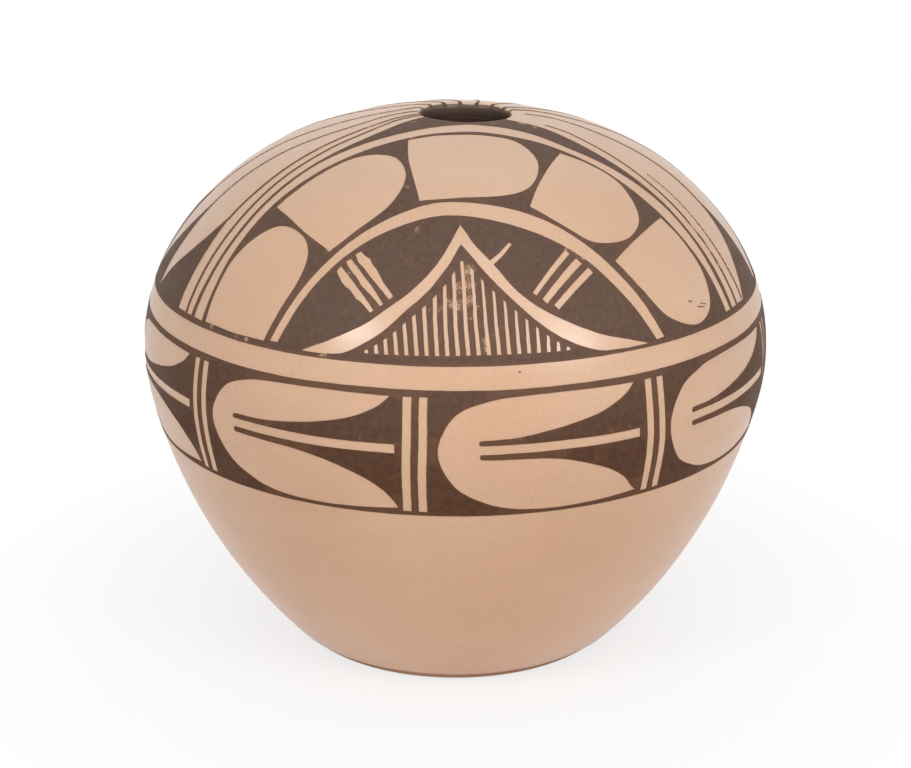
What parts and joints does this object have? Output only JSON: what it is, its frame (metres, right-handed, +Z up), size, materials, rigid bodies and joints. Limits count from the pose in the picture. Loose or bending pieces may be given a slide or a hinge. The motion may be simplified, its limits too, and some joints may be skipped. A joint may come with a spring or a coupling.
{
  "type": "pottery seed jar",
  "caption": "Round hand-coiled pottery jar with a wide belly, a small round mouth and a flat foot, slipped and painted outside, for keeping seeds or for show.",
  "frame": {"origin": "centre of the flat foot, on the surface the jar stands on", "axes": "+Z up along the jar's axis, -Y towards the viewer of the picture, +X to the viewer's right"},
  "size_m": [0.178, 0.178, 0.1524],
  "materials": {
    "clay": "bare low-fired clay, scraped",
    "slip": "stone-polished slip, satin"
  },
  "bodies": {
    "root": {"base_pat": "clay", "coil_01": "clay", "coil_02": "clay", "coil_03": "clay", "coil_04": "clay", "coil_05": "clay", "coil_06": "clay", "coil_07": "clay", "coil_08": "clay", "coil_09": "clay", "coil_10": "clay", "coil_11": "clay", "mouth_coil": "clay", "slip_coat": "slip"}
  },
  "joints": []
}
